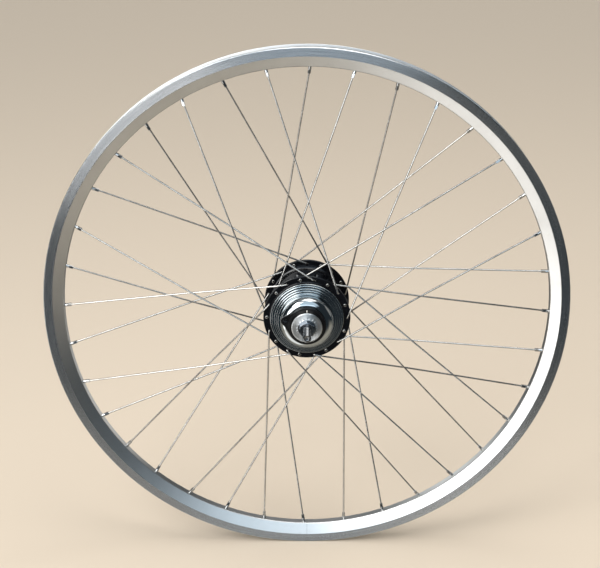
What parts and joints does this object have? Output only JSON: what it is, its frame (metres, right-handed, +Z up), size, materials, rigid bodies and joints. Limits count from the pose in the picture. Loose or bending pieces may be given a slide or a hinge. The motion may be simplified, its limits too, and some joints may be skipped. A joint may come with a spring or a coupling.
{
  "type": "bicycle wheel with internally geared hub",
  "caption": "Bare spoked bicycle wheel laced to a black internal gear hub with chrome end covers, planetary gears, roller clutches, a cable pulley and a nutted axle.",
  "frame": {"origin": "middle of the axle, on the wheel's centre plane", "axes": "+Y along the axle towards the left (plain) end, -Y is the drive side; +Z up; +X the way the wheel rolls"},
  "size_m": [0.634, 0.2, 0.634],
  "materials": {
    "shell_black": "gloss",
    "chrome": "polished",
    "rim_alloy": "satin",
    "spoke_steel": "satin",
    "nipple_plate": "polished",
    "axle_steel": "satin",
    "nut_plate": "satin",
    "lock_ring_plate": "satin",
    "washer_zinc": "satin",
    "selector_black": "matte",
    "gear_steel": "satin",
    "hardened_steel": "satin",
    "black_oxide": "satin",
    "ball_steel": "polished",
    "cage_steel": "satin",
    "seal_rubber": "matte"
  },
  "bodies": {
    "axle": {"axle": "axle_steel", "pawl_pins": "hardened_steel", "right_cone": "hardened_steel", "left_cone": "hardened_steel", "left_spacer": "nut_plate", "left_locknut": "nut_plate", "selector_bracket": "selector_black", "lock_ring": "lock_ring_plate", "right_serrated_washer": "washer_zinc", "left_serrated_washer": "washer_zinc", "right_axle_nut": "nut_plate", "left_axle_nut": "nut_plate", "sun_gear_low": "gear_steel", "sun_gear_top": "gear_steel"},
    "wheel": {"rim": "rim_alloy", "hub_shell": "shell_black", "spokes_left_outer": "spoke_steel", "spokes_drive_inner": "spoke_steel", "spokes_left_inner": "spoke_steel", "spokes_drive_outer": "spoke_steel", "nipples_left": "nipple_plate", "nipples_drive": "nipple_plate", "right_ball_ring": "chrome", "right_seal": "seal_rubber", "ring_clutch_race": "hardened_steel", "carrier_clutch_race": "hardened_steel", "left_ball_cup": "hardened_steel", "left_dust_cap": "nut_plate"},
    "driver": {"driver": "hardened_steel", "driver_dust_cap": "chrome", "ring_gear_input": "gear_steel", "input_snap_ring": "hardened_steel"},
    "carrier": {"carrier": "gear_steel", "carrier_front_plate": "gear_steel", "planet_pins_low": "hardened_steel", "planet_pins_high": "hardened_steel", "carrier_rollers": "hardened_steel"},
    "output_ring": {"ring_gear_output": "gear_steel", "ring_rollers": "hardened_steel"},
    "sun_a": {"sun_gear_a": "gear_steel"},
    "sun_b": {"sun_gear_b": "gear_steel"},
    "selector": {"selector_sleeve": "gear_steel", "selector_drive_plate": "gear_steel", "selector_pulley": "selector_black", "cable_anchor_bolt": "black_oxide"},
    "low_pawl": {"sun_pawl_low": "hardened_steel"},
    "top_pawl": {"sun_pawl_top": "hardened_steel"},
    "inner_cage": {"inner_bearing_cage": "cage_steel", "inner_bearing_balls": "ball_steel"},
    "outer_cage": {"outer_bearing_cage": "cage_steel", "outer_bearing_balls": "ball_steel"},
    "left_cage": {"left_bearing_cage": "cage_steel", "left_bearing_balls": "ball_steel"},
    "planet_low_1": {"planet_low_1": "gear_steel"},
    "planet_high_1": {"planet_high_1": "gear_steel"},
    "planet_low_2": {"planet_low_2": "gear_steel"},
    "planet_high_2": {"planet_high_2": "gear_steel"},
    "planet_low_3": {"planet_low_3": "gear_steel"},
    "planet_high_3": {"planet_high_3": "gear_steel"}
  },
  "joints": [
    {"name": "wheel_spin", "type": "hinge", "parent": "axle", "child": "wheel", "pos_m": [0, 0, 0], "axis": [0, 1, 0], "continuous": true},
    {"name": "driver_spin", "type": "hinge", "parent": "axle", "child": "driver", "pos_m": [0, 0, 0], "axis": [0, 1, 0], "continuous": true},
    {"name": "carrier_spin", "type": "hinge", "parent": "axle", "child": "carrier", "pos_m": [0, 0, 0], "axis": [0, 1, 0], "continuous": true},
    {"name": "output_ring_spin", "type": "hinge", "parent": "axle", "child": "output_ring", "pos_m": [0, 0, 0], "axis": [0, 1, 0], "continuous": true},
    {"name": "sun_a_spin", "type": "hinge", "parent": "axle", "child": "sun_a", "pos_m": [0, 0, 0], "axis": [0, 1, 0], "continuous": true},
    {"name": "sun_b_spin", "type": "hinge", "parent": "axle", "child": "sun_b", "pos_m": [0, 0, 0], "axis": [0, 1, 0], "continuous": true},
    {"name": "inner_cage_spin", "type": "hinge", "parent": "axle", "child": "inner_cage", "pos_m": [0, 0, 0], "axis": [0, 1, 0], "continuous": true},
    {"name": "outer_cage_spin", "type": "hinge", "parent": "axle", "child": "outer_cage", "pos_m": [0, 0, 0], "axis": [0, 1, 0], "continuous": true},
    {"name": "left_cage_spin", "type": "hinge", "parent": "axle", "child": "left_cage", "pos_m": [0, 0, 0], "axis": [0, 1, 0], "continuous": true},
    {"name": "planet_low_1_spin", "type": "hinge", "parent": "carrier", "child": "planet_low_1", "pos_m": [0, 0, 0.021], "axis": [0, 1, 0], "continuous": true},
    {"name": "planet_low_2_spin", "type": "hinge", "parent": "carrier", "child": "planet_low_2", "pos_m": [-0.01819, 0, -0.0105], "axis": [0, 1, 0], "continuous": true},
    {"name": "planet_low_3_spin", "type": "hinge", "parent": "carrier", "child": "planet_low_3", "pos_m": [0.01819, 0, -0.0105], "axis": [0, 1, 0], "continuous": true},
    {"name": "planet_high_1_spin", "type": "hinge", "parent": "carrier", "child": "planet_high_1", "pos_m": [0.01754, 0, 0.01013], "axis": [0, 1, 0], "continuous": true},
    {"name": "planet_high_2_spin", "type": "hinge", "parent": "carrier", "child": "planet_high_2", "pos_m": [-0.01754, 0, 0.01013], "axis": [0, 1, 0], "continuous": true},
    {"name": "planet_high_3_spin", "type": "hinge", "parent": "carrier", "child": "planet_high_3", "pos_m": [0, 0, -0.02025], "axis": [0, 1, 0], "continuous": true},
    {"name": "selector_turn", "type": "hinge", "parent": "axle", "child": "selector", "pos_m": [0, 0, 0], "axis": [0, 1, 0], "range_deg": [-26.25, 35]},
    {"name": "low_pawl_turn", "type": "hinge", "parent": "axle", "child": "low_pawl", "pos_m": [-0.0015, -0.0135, 0.0032], "axis": [0, 1, 0], "range_deg": [0, 38], "stiffness_Nm_per_rad": 0.002, "springref_deg": -22.92},
    {"name": "top_pawl_turn", "type": "hinge", "parent": "axle", "child": "top_pawl", "pos_m": [-0.0015, 0.0095, 0.0032], "axis": [0, 1, 0], "range_deg": [0, 38], "stiffness_Nm_per_rad": 0.002, "springref_deg": -22.92}
  ],
  "couplings": [
    {"joint": "carrier_spin", "follows": "driver_spin", "ratio": 0.51923},
    {"joint": "output_ring_spin", "follows": "driver_spin", "ratio": 0.83876},
    {"joint": "sun_a_spin", "follows": "driver_spin", "ratio": -0.77885},
    {"joint": "sun_b_spin", "follows": "driver_spin", "ratio": -0.31154},
    {"joint": "planet_low_1_spin", "follows": "driver_spin", "ratio": 1.5577},
    {"joint": "planet_high_1_spin", "follows": "driver_spin", "ratio": 1.0385},
    {"joint": "planet_low_2_spin", "follows": "driver_spin", "ratio": 1.5577},
    {"joint": "planet_high_2_spin", "follows": "driver_spin", "ratio": 1.0385},
    {"joint": "planet_low_3_spin", "follows": "driver_spin", "ratio": 1.5577},
    {"joint": "planet_high_3_spin", "follows": "driver_spin", "ratio": 1.0385},
    {"joint": "inner_cage_spin", "follows": "driver_spin", "ratio": 0.57317},
    {"joint": "outer_cage_spin", "follows": "wheel_spin", "ratio": 0.52828},
    {"joint": "left_cage_spin", "follows": "wheel_spin", "ratio": 0.57742}
  ]
}
